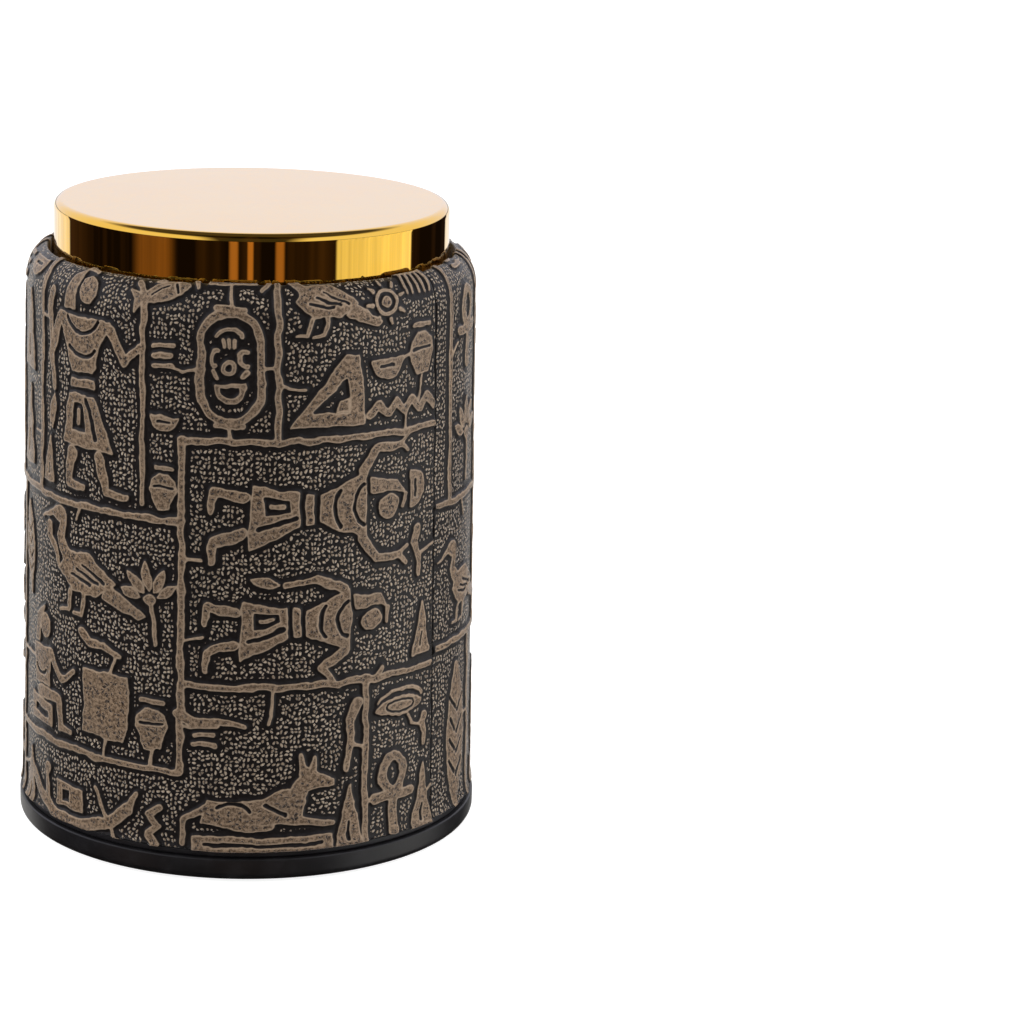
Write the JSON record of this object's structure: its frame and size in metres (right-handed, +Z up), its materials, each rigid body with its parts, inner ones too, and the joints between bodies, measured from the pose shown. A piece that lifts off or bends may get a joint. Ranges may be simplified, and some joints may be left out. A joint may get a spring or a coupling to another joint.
{
  "type": "leather dice cup",
  "caption": "Round leather-covered dice cup standing mouth down on a shallow tray, closed at the top by a plated push-fit cap; the cup lifts off the tray and the cap lifts out of the cup.",
  "frame": {"origin": "centre of the footprint, on the surface that the tray stands on", "axes": "+Z up along the cup's axis, -Y towards the viewer in front; the leather's seam is 35 degrees from +X towards -Y"},
  "size_m": [0.0898, 0.0898, 0.1217],
  "materials": {
    "tray_plastic": "satin to gloss black moulding",
    "foot_pad": "matt non-slip pad",
    "tray_felt": "black felt",
    "ring_plastic": "matt black moulding",
    "shell_plastic": "matt black moulding",
    "foam": "open-cell foam",
    "leather": "embossed, bronze-brown raised areas on near-black grooves",
    "lining": "black flannel",
    "gold_plate": "mirror gold plating on moulded plastic",
    "cap_felt": "black felt"
  },
  "bodies": {
    "tray": {"base_tray": "tray_plastic", "foot_pad": "foot_pad", "tray_felt": "tray_felt"},
    "cup": {"mouth_ring": "ring_plastic", "shell": "shell_plastic", "foam_sleeve": "foam", "leather_wrap": "leather", "wall_lining": "lining"},
    "cap": {"gold_cap": "gold_plate", "cap_liner": "cap_felt"}
  },
  "joints": [
    {"name": "cup_lift", "type": "slide", "parent": "tray", "child": "cup", "axis": [0, 0, 1], "range_m": [0, 0.035]},
    {"name": "cap_lift", "type": "slide", "parent": "cup", "child": "cap", "axis": [0, 0, 1], "range_m": [0, 0.028]}
  ]
}
